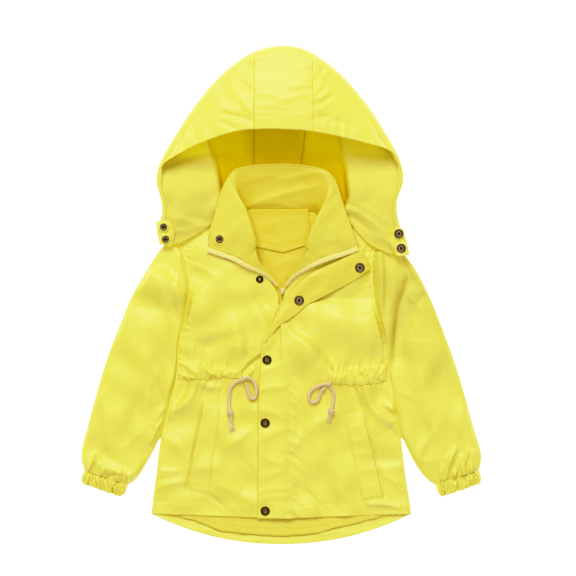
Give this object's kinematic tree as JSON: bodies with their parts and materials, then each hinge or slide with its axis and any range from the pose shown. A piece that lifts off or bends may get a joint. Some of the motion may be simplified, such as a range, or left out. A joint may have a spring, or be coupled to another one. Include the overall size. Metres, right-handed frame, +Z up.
{
  "type": "kids raincoat",
  "caption": "Child's hooded raincoat laid flat on its back: snap-and-zip front with its top turned out, waist drawcords, slanted welt pockets and elastic cuffs.",
  "frame": {"origin": "middle of the bounding box, on the surface that the coat lies on", "axes": "+Z up from the surface, +Y from the hem towards the hood, -X towards the wearer's right arm"},
  "size_m": [0.6611, 0.8222, 0.0663],
  "materials": {
    "rain_cloth": "thin yellow woven polyester, soft sheen",
    "inner_cloth": "inner face of the same yellow cloth, a little duller",
    "zip": "cream moulded teeth on a woven tape",
    "brass": "antique brass, dark in the hollows",
    "cotton_cord": "beige knitted cotton"
  },
  "bodies": {
    "root": {"front_right_panel": "rain_cloth", "front_left_panel": "rain_cloth", "sleeve_right": "rain_cloth", "sleeve_left": "rain_cloth", "cuff_right": "rain_cloth", "cuff_left": "rain_cloth", "hood_side_right": "rain_cloth", "hood_centre": "rain_cloth", "hood_side_left": "rain_cloth", "hood_tab_right": "rain_cloth", "hood_tab_left": "rain_cloth", "storm_flap": "rain_cloth", "pocket_welt_right": "rain_cloth", "pocket_welt_left": "rain_cloth", "waist_casing_right": "rain_cloth", "waist_casing_left": "rain_cloth", "back_panel": "inner_cloth", "lining_hem": "inner_cloth", "neck_patch": "inner_cloth", "collar": "inner_cloth", "facing_right": "inner_cloth", "facing_left": "inner_cloth", "storm_flap_turned": "inner_cloth", "zip_chain": "zip", "zip_tape_right": "zip", "zip_tape_left": "zip", "zip_slider": "zip", "snap_cap_top": "brass", "snap_cap_middle": "brass", "snap_cap_bottom": "brass", "snap_socket_flap_upper": "brass", "snap_socket_flap_lower": "brass", "snap_stud_front": "brass", "snap_stud_collar": "brass", "snap_hood_right_upper": "brass", "snap_hood_right_lower": "brass", "snap_hood_left_upper": "brass", "snap_hood_left_lower": "brass", "bow_knot_right": "cotton_cord", "drawcord_loop_right": "cotton_cord", "drawcord_tail_right": "cotton_cord", "stopper_knot_right": "cotton_cord", "cord_tuft_right": "cotton_cord", "bow_knot_left": "cotton_cord", "drawcord_loop_left": "cotton_cord", "drawcord_tail_left": "cotton_cord", "stopper_knot_left": "cotton_cord", "cord_tuft_left": "cotton_cord"}
  },
  "joints": []
}
